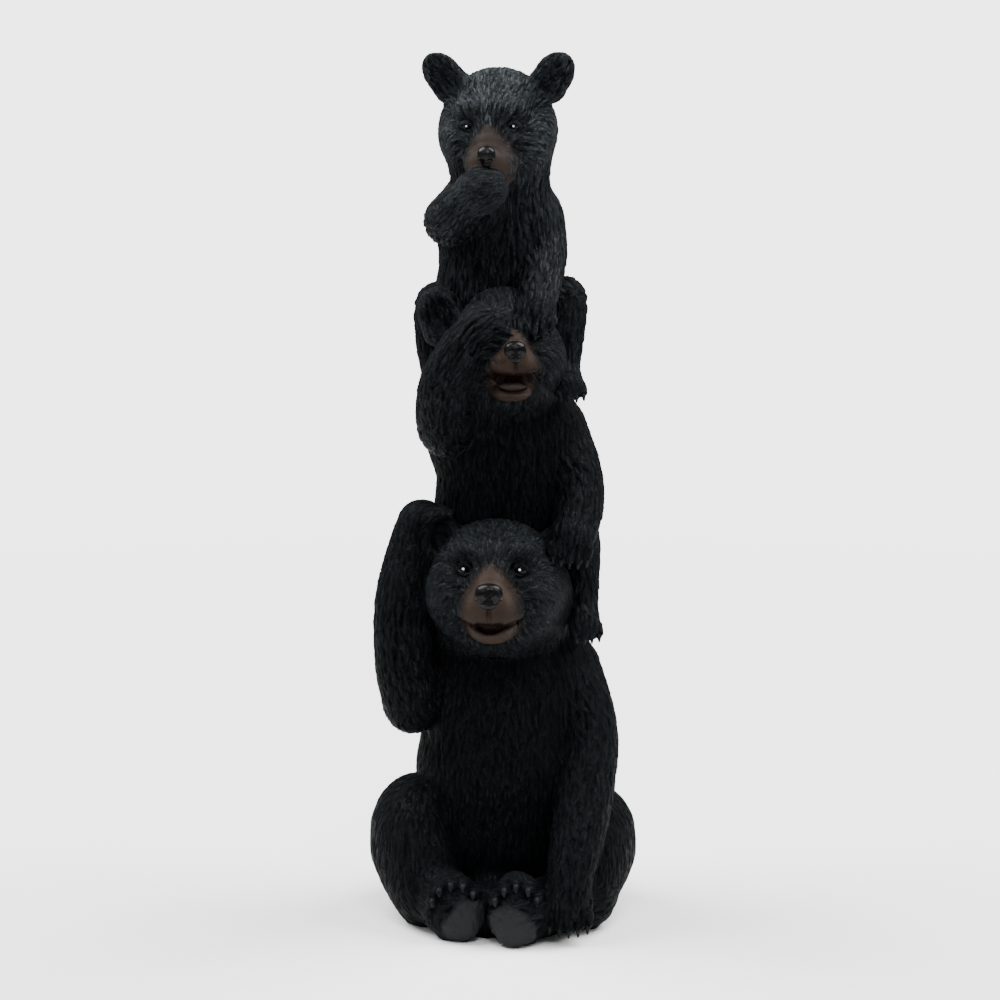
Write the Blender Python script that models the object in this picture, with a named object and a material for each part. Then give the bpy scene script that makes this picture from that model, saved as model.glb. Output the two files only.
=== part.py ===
"""Three black bear cubs stacked in one cast statue: the lowest covers an ear, the middle one
an eye and the top one its mouth. The statue is one solid with a flat underside."""

import math

import bmesh
import bpy
import numpy as np
from mathutils import Matrix, Vector

# Metres. The pose, proportions and carving are shares of the height, in units of a 400th.
STATUE_HEIGHT = 0.400
UNIT = STATUE_HEIGHT / 400

# The skin, its smoothing and how far the last thinning goes.
SKIN_GRAIN = 1.8 * UNIT
FAR_OFF = 1000.0 * UNIT
RELAX_ROUNDS = 4
MOST_TRIANGLES = 9700
FACE_CARE = 3.0 * UNIT

RESIN_BLACK = (0.012, 0.013, 0.016, 1.0)
RESIN_ROUGHNESS = 0.55


class Ball:
    """An ellipsoid of clay, pressed on with a fillet as wide as its blend."""

    def __init__(self, place, centre, radii, turn, blend):
        self.centre = np.array(place @ Vector(centre))
        size = place.to_scale()[0]
        self.radii = np.array(radii, float) * size
        self.axes = np.array((place.to_3x3().normalized() @ turn).to_3x3())
        self.blend = blend * size

    def distance(self, points):
        local = (points - self.centre) @ self.axes
        reach = np.linalg.norm(local / self.radii, axis=1)
        slope = np.linalg.norm(local / self.radii**2, axis=1)
        return reach * (reach - 1) / np.maximum(slope, 1e-9)

    def box(self):
        reach = np.abs(self.axes * self.radii).sum(axis=1)
        return self.centre - reach, self.centre + reach

    def add_to(self, clay):
        turn = Matrix(self.axes.tolist()).to_4x4()
        place = Matrix.Translation(self.centre) @ turn @ Matrix.Diagonal((*self.radii, 1))
        bmesh.ops.create_icosphere(clay, subdivisions=4, radius=1, matrix=place)


class Roll:
    """A round roll of clay, such as an arm, that runs smoothly through its stations."""

    def __init__(self, place, stations, blend):
        size = place.to_scale()[0]
        path = [(*(place @ Vector(point)), radius * size) for point, radius in stations]
        self.stations = smooth_path(np.array(path))
        self.blend = blend * size

    def box(self):
        centres, radii = self.stations[:, :3], self.stations[:, 3:]
        return (centres - radii).min(axis=0), (centres + radii).max(axis=0)

    def distance(self, points):
        nearest = np.full(len(points), np.inf)
        for first, second in zip(self.stations, self.stations[1:]):
            along = second[:3] - first[:3]
            share = np.clip((points - first[:3]) @ along / (along @ along), 0, 1)
            gap = points - first[:3] - share[:, None] * along
            radius = first[3] + share * (second[3] - first[3])
            nearest = np.minimum(nearest, np.sqrt((gap * gap).sum(axis=1)) - radius)
        return nearest

    def add_to(self, clay):
        for first, second in zip(self.stations, self.stations[1:]):
            roll = bmesh.new()
            for station in (first, second):
                place = Matrix.Translation(station[:3])
                bmesh.ops.create_icosphere(roll, subdivisions=2, radius=station[3], matrix=place)
            hull = bmesh.ops.convex_hull(roll, input=roll.verts[:])
            outer = set(hull["geom"])
            inner = [face for face in roll.faces if face not in outer]
            bmesh.ops.delete(roll, geom=inner, context="FACES")
            mesh = bpy.data.meshes.new("roll")
            roll.to_mesh(mesh)
            roll.free()
            clay.from_mesh(mesh)
            bpy.data.meshes.remove(mesh)


class Member:
    """A group of masses, such as an arm, that is welded to the rest with one fillet."""

    def __init__(self, weld, place=None):
        self.weld = weld * UNIT
        self.place = Matrix.Scale(UNIT, 4) @ (place or Matrix.Identity(4))
        self.masses = []
        self.hollows = []

    def ball(self, centre, radii, blend=6.0, turn=(0, 0, 0)):
        spin = euler(turn)
        self.masses.append(Ball(self.place, centre, radii, spin, blend))

    def roll(self, *stations, blend=6.0):
        """A limb through several stations, each a point and the radius there."""
        self.masses.append(Roll(self.place, stations, blend))

    def hollow(self, centre, radii, blend=2.0, turn=(0, 0, 0)):
        self.hollows.append(Ball(self.place, centre, radii, euler(turn), blend))

    def distance(self, points):
        """Distances near this member. Points farther off than any fillet are left at FAR_OFF."""
        boxes = [mass.box() for mass in self.masses]
        fillet = self.weld + max(mass.blend for mass in self.masses)
        low = np.min([box[0] for box in boxes], axis=0) - fillet
        high = np.max([box[1] for box in boxes], axis=0) + fillet
        close = ((points > low) & (points < high)).all(axis=1)
        result = np.full(len(points), FAR_OFF)
        if not close.any():
            return result
        near = points[close]
        whole = self.masses[0].distance(near)
        for mass in self.masses[1:]:
            whole = joined(whole, mass.distance(near), mass.blend)
        for hollow in self.hollows:
            whole = -joined(-whole, hollow.distance(near), hollow.blend)
        result[close] = whole
        return result


def smooth_path(stations, steps=3):
    """Stations on a smooth curve through the given ones, radii included."""
    if len(stations) < 3:
        return stations
    ends = np.vstack([2 * stations[0] - stations[1], stations, 2 * stations[-1] - stations[-2]])
    path = []
    for before, first, second, after in zip(ends, ends[1:], ends[2:], ends[3:]):
        for t in np.arange(steps) / steps:
            slope_in, slope_out = (second - before) / 2, (after - first) / 2
            path.append(
                first * (2 * t**3 - 3 * t**2 + 1) + slope_in * (t**3 - 2 * t**2 + t)
                + second * (3 * t**2 - 2 * t**3) + slope_out * (t**3 - t**2)
            )
    path.append(stations[-1])
    return np.array(path)


def euler(degrees):
    """Turns about X, Y and Z in degrees as a matrix."""
    x, y, z = (math.radians(angle) for angle in degrees)
    return Matrix.Rotation(z, 3, "Z") @ Matrix.Rotation(y, 3, "Y") @ Matrix.Rotation(x, 3, "X")


def joined(first, second, blend):
    """The nearer of two distances, with a round fillet where they are alike."""
    near = np.maximum(blend - np.abs(first - second), 0) / blend
    return np.minimum(first, second) - near * near * blend / 4


def placed(centre, size, turn, nod, tilt):
    """A head's place: turn moves the nose to +X, nod lifts it and tilt leans the head to +X."""
    spin = (
        Matrix.Rotation(math.radians(turn), 4, "Z")
        @ Matrix.Rotation(math.radians(-nod), 4, "X")
        @ Matrix.Rotation(math.radians(tilt), 4, "Y")
    )
    return Matrix.Translation(centre) @ spin @ Matrix.Scale(size, 4)


def head(place, weld, mouth, chin, crown=None):
    """A bear's head with its brow, muzzle, nose, mouth and eyes. Its nose points to -Y. The mouth
    is its half width, its height in the middle and how far it opens below that, and the chin is
    its middle's height and its radius."""
    skull = Member(weld=weld, place=place)
    skull.ball((0, 3, 0), (29.5, 26, 27.5))
    if crown:
        skull.ball(*crown, blend=10)
    skull.ball((0, -4, -19), (21, 19, 12), blend=10)
    for side in (-1, 1):
        skull.ball((side * 15, -3, -7), (16.5, 19, 17), blend=8)
        skull.ball((side * 10.5, -18, 15.5), (9, 7, 5.5), blend=9)
        skull.ball((side * 13.5, -17, -5), (10, 7.5, 8), blend=12)
    skull.roll(((0, -10, 6), 12), ((0, -26, 2.5), 9.4), ((0, -37, -3), 7), blend=7)
    skull.ball((0, -27, -8.6), (13, 16, 8.4), blend=6)
    for side in (-1, 1):
        skull.ball((side * 5.4, -33, -8.6), (7.8, 8.6, 6.4), blend=6)
    skull.ball((0, -25.5, chin[0]), (10.2, 12.6, chin[1]), blend=4)
    skull.ball((0, -43, -1), (6.6, 4.4, 5), blend=1)
    for side in (-1, 1):
        skull.hollow((side * 12.6, -26, 9), (5.2, 5, 3.6), blend=3)
    half, height, gape = mouth
    middle = height - gape / 2
    skull.hollow((0, -38, middle), (half, 10, gape / 2 + 0.8), blend=2)
    for side in (-1, 1):
        skull.hollow((side * 8, -38, -14.4), (7, 8, 1.8), blend=2, turn=(0, side * -16, side * 20))
    eyes = Member(weld=0.6, place=place)
    for side in (-1, 1):
        eyes.ball((side * 12.6, -21, 9), (3.2, 3.2, 3.2))
    return [skull, eyes]


def ear(place, middle, width, length, lean, thickness=4.4):
    """A cupped ear around its middle point, leaning to +X by lean degrees and open to -Y."""
    cup = Member(weld=2.5, place=place)
    middle = Vector(middle)
    turn = (0, lean, 0)
    spin = euler(turn)
    cup.ball(middle, (width / 2, thickness, length / 2), turn=turn)
    foot = middle - spin @ Vector((0, 0, length * 0.3))
    cup.ball(foot, (width * 0.5, thickness * 1.3, length * 0.28), blend=4, turn=turn)
    deep = middle + spin @ Vector((0, -thickness * 1.3, -length * 0.05))
    cup.hollow(deep, (width / 2 - 2.4, thickness * 1.2, length / 2 - 2.8), blend=1.5, turn=turn)
    return cup


def toes(member, centre, across, forward, count, spread, radius, length):
    """A row of toes side by side along across, each pointing forward, with the middle ones longer."""
    across, forward = Vector(across).normalized(), Vector(forward).normalized()
    for index in range(count):
        step = index - (count - 1) / 2
        root = Vector(centre) + across * step * spread
        tip = root + forward * length * (1 - 0.08 * step * step)
        member.roll((root, radius), (tip, radius * 0.75), blend=1.0)


def bottom_bear():
    torso = Member(weld=4)
    torso.ball((0, 10, 30), (47, 42, 34))
    torso.ball((0, 4, 66), (40, 37, 44), blend=12)
    torso.ball((0, 4, 104), (38, 33, 34), blend=12)
    torso.ball((-27, 3, 114), (17, 20, 22), blend=12)
    torso.ball((27, 5, 112), (17, 19, 20), blend=12)
    torso.ball((0, 6, 134), (34, 27, 26), blend=14)
    torso.ball((0, 50, 18), (8, 7, 7), blend=5)
    torso.ball((-5, -36, 9), (16, 18, 13), blend=8)
    raised = Member(weld=2)
    raised.roll(
        ((-30, 2, 120), 15), ((-40, -6, 104), 13), ((-42, -14, 101), 13),
        ((-45, -18, 122), 13.3), ((-45.5, -18, 148), 13), ((-41.5, -13, 172), 11.4),
        ((-38.5, -11, 184), 10),
    )
    raised.ball((-35.5, -12, 187), (9.5, 12, 8.5), blend=4, turn=(0, 25, 0))
    toes(raised, (-31, -14, 190), (0, 1, 0), (1, 0, 0.1), 4, 4.6, 2.8, 5)
    lowered = Member(weld=2)
    lowered.roll(
        ((30, 4, 112), 17), ((39.5, -6, 90), 14), ((40, -14, 74), 13.5),
        ((36, -34, 50), 12.6), ((31.5, -48, 32), 10.5), ((30, -53, 20), 9.5),
    )
    lowered.ball((30, -55, 18), (10.5, 7, 11), blend=3, turn=(-15, 0, 0))
    toes(lowered, (30, -59, 14), (1, 0, 0), (0, -0.3, -1), 5, 4.3, 2.7, 7)
    place = placed((-1.5, -24, 161), 1.0, turn=-4.2, nod=0, tilt=0)
    ruff = Member(weld=5)
    ruff.ball((18, -10, 150), (15, 17, 21))
    ruff.ball((-17, -9, 147), (17, 18, 22), blend=4)
    ruff.ball((0, -16, 137), (20, 15, 12), blend=8)
    ears = [
        ear(place, (-27, 4, 21), 19, 22, -35),
        ear(place, (30, 9, 17), 17, 19, 50),
    ]
    face = head(place, weld=7, mouth=(6.8, -13.2, 4.2), chin=(-18.4, 6))
    return [
        torso, *haunch((-40, 0, 35), (-33, -34, 17.5), (-20.5, -51), 10, 31, 3),
        *haunch((41, 0, 33), (38, -34, 14.5), (7, -59), 0, 33, -1.5),
        ruff, *face, *ears, raised, lowered,
    ]


def haunch(hip, knee, foot, splay, height, sole_shift):
    """A folded hind leg. Its foot stands on its heel with the sole forward, leaning outward by
    splay degrees, and the toes fan out above the sole."""
    leg = Member(weld=2.5)
    side = math.copysign(1, hip[0])
    leg.ball((hip[0], hip[1] - 4, hip[2]), (22, 34, hip[2] - 6))
    leg.ball((hip[0] - side * 4, hip[1] - 22, 22), (17, 22, 24), blend=8)
    heel = (foot[0], foot[1] + 5)
    leg.roll((knee, 13.5), ((*heel, 13), 12.5), blend=6)
    lean = math.radians(splay) * side
    turn = (-10, math.degrees(lean), splay * side)
    up = Vector((math.sin(lean), 0.18, math.cos(lean)))
    across = Vector((math.cos(lean), 0, -math.sin(lean)))
    middle = Vector((foot[0], foot[1], 2)) + up * height * 0.42
    leg.ball(middle, (12.5, 9, height * 0.5), blend=5, turn=turn)
    sole = Member(weld=1.2)
    below = middle + across * sole_shift - up * height * 0.14 + Vector((0, -4, 0))
    sole.ball(below, (9.8, 6.6, height * 0.32), turn=turn)
    for index in range(5):
        fan = math.radians(31 * (index - 2))
        root = middle + across * (sole_shift * 0.5 + math.sin(fan) * 10.5) + Vector((0, -2.5, 0))
        root += up * (math.cos(fan) * height * 0.34 + 0.5)
        toes(leg, root, across, (0, -1, 0.1), 1, 0, 3.5, 5.5)
    return [leg, sole]


def middle_bear():
    torso = Member(weld=2)
    torso.ball((1, 18, 158), (33, 26, 26))
    torso.ball((2, 10, 186), (34, 30, 34), blend=10)
    torso.ball((2, 7, 214), (32, 28, 30), blend=10)
    torso.ball((-20, 6, 226), (15, 17, 17), blend=10)
    torso.ball((23, 6, 226), (15, 17, 17), blend=10)
    torso.ball((1, 3, 240), (27, 23, 22), blend=12)
    torso.ball((1, 44, 152), (6, 6, 6), blend=4)
    legs = [
        hanging_leg((22, 14, 166), (34, 4, 178), (35.5, -4, 160), (37, -8, 146), (38.5, -17, 138)),
        hanging_leg((-24, 14, 166), (-37, 6, 176), (-39, 2, 160), (-38, -2, 146), (-36, -9, 140)),
    ]
    raised = Member(weld=2)
    raised.roll(
        ((-21, 6, 236), 14), ((-25, -6, 229.6), 12.5), ((-26, -14, 229.6), 12.3),
        ((-26.5, -22, 238), 12.3), ((-24.5, -30, 252), 12.2), ((-17, -37, 267), 11),
        ((-11, -39, 275), 9.8),
    )
    raised.ball((-8.5, -40, 277), (10, 7.5, 10), blend=3)
    toes(raised, (-4, -44.5, 272), (0.5, 0, 1), (1, 0.1, -0.5), 4, 4.0, 2.6, 5)
    lowered = Member(weld=2)
    lowered.roll(
        ((25, 6, 226), 14.5), ((33, 0, 210), 12.5), ((35.5, -7, 197), 11.5),
        ((34.5, -16, 187), 10.5), ((32, -23, 181), 9.5),
    )
    lowered.ball((31.5, -27, 180), (9.5, 7, 9), blend=3)
    toes(lowered, (31, -31, 177), (1, 0.1, -0.15), (-0.1, -0.4, -1), 5, 3.9, 2.5, 6)
    place = placed((2, -14, 265), 0.85, turn=6, nod=4, tilt=0)
    ruff = Member(weld=5)
    ruff.ball((2, -6, 251), (24, 20, 18))
    ruff.ball((-14, -14, 243), (14, 15, 17), blend=4)
    ears = [
        ear(place, (-34.5, 5, 19.6), 25, 30, -20, thickness=5),
        ear(place, (30, 8, 22), 22, 27, 28, thickness=5),
    ]
    crown = ((-3, -7, 15), (20, 17, 19))
    face = head(place, weld=6, mouth=(12.4, -12.4, 7.4), chin=(-21.4, 4.6), crown=crown)
    return [torso, *legs, ruff, *face, *ears, raised, lowered]


def hanging_leg(hip, knee, shin, ankle, toe):
    """A leg that hangs astride the bear below, with its foot forward."""
    leg = Member(weld=2)
    leg.roll((hip, 14), (knee, 11), (shin, 9.5), (ankle, 7.4), (toe, 6.6))
    side = (Vector(toe) - Vector(ankle)).normalized().cross(Vector((0, 0, 1)))
    toes(leg, toe, side, Vector(toe) - Vector(ankle), 4, 3.6, 2.5, 6)
    return leg


def top_bear():
    torso = Member(weld=2)
    torso.ball((-1, 18, 268), (29, 23, 23))
    torso.ball((-1, 10, 292), (29, 26, 28), blend=9)
    torso.ball((-1, 7, 314), (27, 24, 24), blend=9)
    torso.ball((-15, 6, 322), (13, 14, 14), blend=9)
    torso.ball((14, 6, 322), (13, 14, 14), blend=9)
    torso.ball((-1, 3, 338), (22, 19, 19), blend=10)
    torso.ball((-1, 41, 263), (5, 5, 5), blend=4)
    torso.ball((-10, -16, 332), (12, 14, 14), blend=6)
    legs = [
        hanging_leg((18, 14, 274), (28, 4, 287), (28, -3, 271), (28, -7, 257), (30.5, -16, 249)),
        hanging_leg((-20, 14, 274), (-29, 6, 284), (-30, 4, 268), (-30, 2, 257), (-29, -5, 250)),
    ]
    raised = Member(weld=2)
    raised.roll(
        ((-17, 4, 330), 12), ((-22.5, -8, 325), 11.4), ((-24, -18, 324), 11),
        ((-20.5, -27, 328), 10.6), ((-16, -33, 333), 9.2),
    )
    paw = Member(weld=2)
    paw.ball((-9, -37.5, 337.8), (11.8, 8.2, 10.2), turn=(0, -14, 0))
    lowered = Member(weld=2)
    lowered.roll(
        ((15, 6, 325), 13), ((18.5, 0, 312), 11), ((18.5, -8, 302), 10),
        ((16.5, -18, 293), 9.2), ((15, -27, 286), 8.4),
    )
    lowered.ball((15, -30, 283), (9, 6.5, 8), blend=3)
    toes(lowered, (14.5, -34, 280), (1, 0.1, 0), (0, -0.4, -1), 5, 3.7, 2.4, 5)
    place = placed((-2, -8, 368.4), 0.84, turn=-8.5, nod=-26, tilt=0)
    ruff = Member(weld=5)
    ruff.ball((-1, -2, 350), (23, 20, 18))
    ears = [
        ear(place, (-27.6, 2.6, 25.4), 20.5, 28.4, -33),
        ear(place, (31.4, 2.6, 25.4), 20.5, 28.4, 33),
    ]
    face = head(place, weld=5, mouth=(6.5, -14.4, 1.6), chin=(-18.2, 6))
    return [torso, *legs, ruff, *face, *ears, raised, paw, lowered]


def statue_distance(members, points):
    """How far each point lies outside the statue, whose underside is cut flat at zero."""
    whole = members[0].distance(points)
    for member in members[1:]:
        whole = joined(whole, member.distance(points), member.weld)
    return whole


def clay_object(members):
    """The masses joined as they overlap, in one skin of small quads."""
    clay = bmesh.new()
    for member in members:
        for mass in member.masses:
            mass.add_to(clay)
    mesh = bpy.data.meshes.new("bear_statue")
    clay.to_mesh(mesh)
    clay.free()
    statue = bpy.data.objects.new("bear_statue", mesh)
    bpy.context.scene.collection.objects.link(statue)
    skin = statue.modifiers.new("skin", "REMESH")
    skin.mode = "VOXEL"
    skin.voxel_size = SKIN_GRAIN
    apply_modifiers(statue)
    return statue


def apply_modifiers(thing):
    graph = bpy.context.evaluated_depsgraph_get()
    mesh = bpy.data.meshes.new_from_object(thing.evaluated_get(graph))
    thing.modifiers.clear()
    thing.data = mesh


def cut_flat(model):
    """Cuts the underside level with the ground and closes it."""
    everything = model.verts[:] + model.edges[:] + model.faces[:]
    cut = bmesh.ops.bisect_plane(
        model, geom=everything, dist=0.02 * UNIT, plane_co=(0, 0, 0), plane_no=(0, 0, -1),
        clear_outer=True,
    )
    rim = [edge for edge in cut["geom_cut"] if isinstance(edge, bmesh.types.BMEdge)]
    bmesh.ops.holes_fill(model, edges=rim)


def thin_out(statue, cared_for):
    """Fewer triangles, with more of them kept on the faces and feet."""
    spare = statue.vertex_groups.new(name="spare")
    points = np.array([v.co for v in statue.data.vertices])
    spare.add(range(len(points)), 1.0, "REPLACE")
    for centre, reach in cared_for:
        near = np.linalg.norm(points / UNIT - centre, axis=1) < reach
        spare.add(np.nonzero(near)[0].tolist(), 0.5, "REPLACE")
    loss = statue.modifiers.new("thin", "DECIMATE")
    loss.ratio = MOST_TRIANGLES / (2 * len(statue.data.polygons))
    loss.use_collapse_triangulate = True
    loss.vertex_group = "spare"
    loss.vertex_group_factor = FACE_CARE
    apply_modifiers(statue)
    statue.vertex_groups.clear()


def relax(mesh, members):
    """Draws the skin onto the filleted form, and evens it out, a few times over."""
    step = SKIN_GRAIN * 0.25
    corners = np.array([(1, -1, -1), (-1, -1, 1), (-1, 1, -1), (1, 1, 1)], float)
    model = bmesh.new()
    model.from_mesh(mesh)
    for left in reversed(range(RELAX_ROUNDS)):
        points = np.array([v.co for v in model.verts])
        samples = [statue_distance(members, points + corner * step) for corner in corners]
        slope = sum(c * s[:, None] for c, s in zip(corners, samples)) / (4 * step)
        steep = np.maximum((slope**2).sum(axis=1), 0.25)
        points -= slope * (sum(samples) / 4 / steep)[:, None]
        for vertex, point in zip(model.verts, points):
            vertex.co = point
        if left:
            bmesh.ops.smooth_vert(model, verts=model.verts, factor=0.35,
                                  use_axis_x=True, use_axis_y=True, use_axis_z=True)
    cut_flat(model)
    model.to_mesh(mesh)
    model.free()


def resin():
    material = bpy.data.materials.new("black_resin")
    material.use_nodes = True
    shader = material.node_tree.nodes["Principled BSDF"]
    shader.inputs["Base Color"].default_value = RESIN_BLACK
    shader.inputs["Roughness"].default_value = RESIN_ROUGHNESS
    shader.inputs["Metallic"].default_value = 0.0
    return material


def main():
    for old in list(bpy.data.objects):
        bpy.data.objects.remove(old)
    members = bottom_bear() + middle_bear() + top_bear()
    statue = clay_object(members)
    relax(statue.data, members)
    cared_for = (((-4, -56, 160), 34), ((4, -46, 262), 30), ((-5, -34, 358), 30), ((-6, -62, 18), 30))
    thin_out(statue, cared_for)
    corners = np.array([v.co for v in statue.data.vertices])
    low, high = corners.min(axis=0), corners.max(axis=0)
    centre = Matrix.Translation((-(low[0] + high[0]) / 2, -(low[1] + high[1]) / 2, -low[2]))
    statue.data.transform(centre)
    statue.data.materials.append(resin())
    statue.data.shade_smooth()


main()
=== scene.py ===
# Stack of three black bear cubs, cast in resin with combed fur, brown muzzles and glossy noses
import math

import bmesh
import bpy
import numpy as np
from mathutils import Matrix, Vector, kdtree


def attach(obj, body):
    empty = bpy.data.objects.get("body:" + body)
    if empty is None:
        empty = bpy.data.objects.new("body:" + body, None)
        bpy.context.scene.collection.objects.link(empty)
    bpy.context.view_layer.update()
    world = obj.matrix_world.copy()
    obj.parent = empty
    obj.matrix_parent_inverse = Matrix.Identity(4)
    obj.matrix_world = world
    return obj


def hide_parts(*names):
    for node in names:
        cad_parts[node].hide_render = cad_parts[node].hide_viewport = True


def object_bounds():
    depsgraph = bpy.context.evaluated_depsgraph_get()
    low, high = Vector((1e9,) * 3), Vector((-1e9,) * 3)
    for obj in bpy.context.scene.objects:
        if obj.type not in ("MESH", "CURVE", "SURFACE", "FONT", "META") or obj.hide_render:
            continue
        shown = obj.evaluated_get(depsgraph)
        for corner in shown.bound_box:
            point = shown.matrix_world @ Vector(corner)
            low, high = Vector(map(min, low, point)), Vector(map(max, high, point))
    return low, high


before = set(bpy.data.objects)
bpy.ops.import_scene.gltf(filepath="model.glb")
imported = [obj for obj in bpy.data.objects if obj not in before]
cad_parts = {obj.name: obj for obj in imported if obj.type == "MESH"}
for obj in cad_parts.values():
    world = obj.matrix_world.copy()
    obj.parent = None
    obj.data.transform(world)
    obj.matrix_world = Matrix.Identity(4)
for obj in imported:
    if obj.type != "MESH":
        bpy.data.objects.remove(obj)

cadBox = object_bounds()

# The figures are drawn 400 units tall, so a unit is a millimetre here
unit = 0.001
sculpt = {
    "grain": {"bottom_bear": 0.82, "middle_bear": 0.72, "top_bear": 0.68},  # size of a mesh cell
    "smallGrain": {"nose": 0.42, "eyes": 0.4, "glints": 0.22, "tongue": 0.4, "claws": 0.4},
    "relaxRounds": 3,
    "relaxProbe": 0.25,  # how far apart the form is felt, as a share of a mesh cell
    "relaxEvening": 0.35,
    "mostTriangles": 196000,
    "faceReach": 0.034,  # how far around a face the thinning goes easy, in metres
    "faceWeight": 0.5,
    "faceCare": 0.003,  # how strongly the thinning keeps to the body rather than the face
    "boxMargin": 0.0001,
    "farOff": 1000.0,
}


coats = {
    # length, width and height of a tuft of fur
    "lid": (4, 1.6, 0),
    "sole": (4, 2, 0),
    "paw": (5, 2.2, 0.35),
    "short": (7, 2.4, 0.5),
    "face": (9, 2.6, 0.8),
    "body": (12, 3.4, 1.15),
    "long": (16, 4.0, 1.45),
}


class Ball:
    # An ellipsoid of clay, pressed on with a fillet as wide as its blend
    def __init__(self, place, centre, radii, turn, blend, comb):
        self.centre = np.array(place @ Vector(centre))
        self.size = place.to_scale()[0]
        self.radii = np.array(radii, float) * self.size
        self.axes = np.array((place.to_3x3().normalized() @ turn).to_3x3())
        self.blend = blend * self.size
        self.comb = np.array(place.to_3x3().normalized() @ Vector(comb)) if comb else None
        self.spared = None

    def distance(self, points):
        local = (points - self.centre) @ self.axes
        reach = np.linalg.norm(local / self.radii, axis=1)
        slope = np.linalg.norm(local / self.radii**2, axis=1)
        return reach * (reach - 1) / np.maximum(slope, 1e-6)

    def box(self):
        reach = np.abs(self.axes * self.radii).sum(axis=1)
        return self.centre - reach, self.centre + reach

    def lie(self, points):
        if self.comb is not None:
            return np.broadcast_to(self.comb, points.shape)
        return points - self.centre + np.array((0, 0, -2.5 * self.radii.max()))

    def addTo(self, clay):
        turn = Matrix(self.axes.tolist()).to_4x4()
        place = Matrix.Translation(self.centre) @ turn @ Matrix.Diagonal((*self.radii, 1))
        bmesh.ops.create_icosphere(clay, subdivisions=5, radius=1, matrix=place)


class Roll:
    # A round roll of clay, such as an arm, that runs smoothly through its stations
    def __init__(self, place, stations, blend):
        self.size = place.to_scale()[0]
        path = [(*(place @ Vector(point)), radius * self.size) for point, radius in stations]
        self.stations = smoothPath(np.array(path))
        self.blend = blend * self.size

    def box(self):
        centres, radii = self.stations[:, :3], self.stations[:, 3:]
        return (centres - radii).min(axis=0), (centres + radii).max(axis=0)

    def distance(self, points):
        nearest = np.full(len(points), np.inf)
        for first, second in zip(self.stations, self.stations[1:]):
            nearest = np.minimum(nearest, self.gap(points, first, second))
        return nearest

    def gap(self, points, first, second):
        along = second[:3] - first[:3]
        share = np.clip((points - first[:3]) @ along / (along @ along), 0, 1)
        gap = points - first[:3] - share[:, None] * along
        radius = first[3] + share * (second[3] - first[3])
        return np.sqrt((gap * gap).sum(axis=1)) - radius

    def lie(self, points):
        best, way = np.full(len(points), np.inf), np.zeros(points.shape)
        for first, second in zip(self.stations, self.stations[1:]):
            gap = self.gap(points, first, second)
            along = (second[:3] - first[:3]) / np.linalg.norm(second[:3] - first[:3])
            way[gap < best] = along
            best = np.minimum(best, gap)
        return way

    def addTo(self, clay):
        for first, second in zip(self.stations, self.stations[1:]):
            roll = bmesh.new()
            for station in (first, second):
                place = Matrix.Translation(station[:3])
                bmesh.ops.create_icosphere(roll, subdivisions=3, radius=station[3], matrix=place)
            hull = bmesh.ops.convex_hull(roll, input=roll.verts[:])
            outer = set(hull["geom"])
            inner = [face for face in roll.faces if face not in outer]
            bmesh.ops.delete(roll, geom=inner, context="FACES")
            mesh = bpy.data.meshes.new("roll")
            roll.to_mesh(mesh)
            roll.free()
            clay.from_mesh(mesh)
            bpy.data.meshes.remove(mesh)


class Member:
    # A group of masses, such as an arm, welded to the rest with one fillet. Its dust-and-sheen amount is
    # how much lighter dusted paint and painted sheen its fur tips carry: high on lit parts as painted
    # light, low on chests as painted shade.
    def __init__(self, weld, place=None, coat="body", dustAndSheen=0.2):
        self.weld = weld
        self.coat = coats[coat]
        self.dustAndSheen = dustAndSheen
        self.place = place or Matrix.Identity(4)
        self.masses = []
        self.hollows = []
        self.mouth = []

    def ball(self, centre, radii, blend=6.0, turn=(0, 0, 0), comb=None):
        self.masses.append(Ball(self.place, centre, radii, euler(turn), blend, comb))

    def roll(self, *stations, blend=6.0):
        self.masses.append(Roll(self.place, stations, blend))

    def hollow(self, centre, radii, blend=2.0, turn=(0, 0, 0), sparing=None, painted=False):
        # A hollow spares the clay inside the ball that sparing gives
        self.hollows.append(Ball(self.place, centre, radii, euler(turn), blend, None))
        if sparing:
            self.hollows[-1].spared = Ball(self.place, *sparing, euler((0, 0, 0)), 0, None)
        # A painted hollow is a mouth: its walls take the dark mouth paint, which is also painted shade
        # on its lit inner walls
        if painted:
            self.mouth.append(self.hollows[-1])

    def near(self, points):
        boxes = [mass.box() for mass in self.masses]
        margin = self.weld + max(mass.blend for mass in self.masses)
        low = np.min([box[0] for box in boxes], axis=0) - margin
        high = np.max([box[1] for box in boxes], axis=0) + margin
        return ((points > low) & (points < high)).all(axis=1)

    def distance(self, points):
        close = self.near(points)
        result = np.full(len(points), sculpt["farOff"])
        if not close.any():
            return result
        near = points[close]
        whole = self.masses[0].distance(near)
        for mass in self.masses[1:]:
            whole = joined(whole, mass.distance(near), mass.blend)
        for hollow in self.hollows:
            gap = hollow.distance(near)
            if hollow.spared:
                gap = np.maximum(gap, -hollow.spared.distance(near))
            whole = -joined(-whole, gap, hollow.blend)
        result[close] = whole
        return result


def smoothPath(stations, steps=3):
    if len(stations) < 3:
        return stations
    ends = np.vstack([2 * stations[0] - stations[1], stations, 2 * stations[-1] - stations[-2]])
    path = []
    for before, first, second, after in zip(ends, ends[1:], ends[2:], ends[3:]):
        for t in np.arange(steps) / steps:
            slopeIn, slopeOut = (second - before) / 2, (after - first) / 2
            path.append(
                first * (2 * t**3 - 3 * t**2 + 1) + slopeIn * (t**3 - 2 * t**2 + t)
                + second * (3 * t**2 - 2 * t**3) + slopeOut * (t**3 - t**2)
            )
    path.append(stations[-1])
    return np.array(path)


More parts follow.
